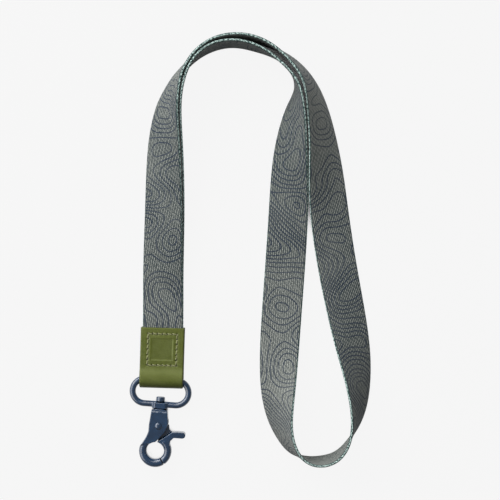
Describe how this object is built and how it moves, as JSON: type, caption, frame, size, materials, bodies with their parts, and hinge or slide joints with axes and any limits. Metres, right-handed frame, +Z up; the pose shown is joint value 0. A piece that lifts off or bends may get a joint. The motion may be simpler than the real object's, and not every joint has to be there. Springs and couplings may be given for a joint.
{
  "type": "neck lanyard",
  "caption": "Flat webbing neck lanyard lying folded on a table, with a stitched leather tab, an oblong ring and a swivelling trigger hook.",
  "frame": {"origin": "on the table, under the middle of the whole lay", "axes": "+Y runs up the strap away from the hook, +X across the strap to its right, +Z up from the table"},
  "size_m": [0.1198, 0.2139, 0.0201],
  "materials": {
    "webbing": "grey woven webbing with a navy contour print and dashed selvedges",
    "leather": "smooth olive leather",
    "thread": "waxed olive thread",
    "enamel": "semi-gloss slate blue enamel",
    "spring_steel": "drawn spring wire"
  },
  "bodies": {
    "strap_and_tab": {"webbing_strap": "webbing", "leather_tab": "leather", "needle_thread": "thread", "bobbin_thread": "thread"},
    "ring": {"swivel_ring": "enamel"},
    "hook": {"hook_body": "enamel", "swivel_post": "enamel", "pivot_rivet": "enamel", "gate_spring": "spring_steel"},
    "trigger": {"gate_lever": "enamel"}
  },
  "joints": [
    {"name": "ring_hinge", "type": "hinge", "parent": "strap_and_tab", "child": "ring", "pos_m": [-0.044, -0.0628, 0.00376], "axis": [0.999, -0.0436, 0], "range_deg": [-120, 120]},
    {"name": "hook_swivel", "type": "hinge", "parent": "ring", "child": "hook", "pos_m": [-0.0443, -0.0755, 0.00376], "axis": [0.0436, 0.999, 0], "continuous": true},
    {"name": "trigger_pivot", "type": "hinge", "parent": "hook", "child": "trigger", "pos_m": [-0.04474, -0.08539, 0.00376], "axis": [0, 0, 1], "range_deg": [0, 22], "stiffness_Nm_per_rad": 0.05, "springref_deg": -11.46, "deforming": ["gate_spring"]}
  ]
}
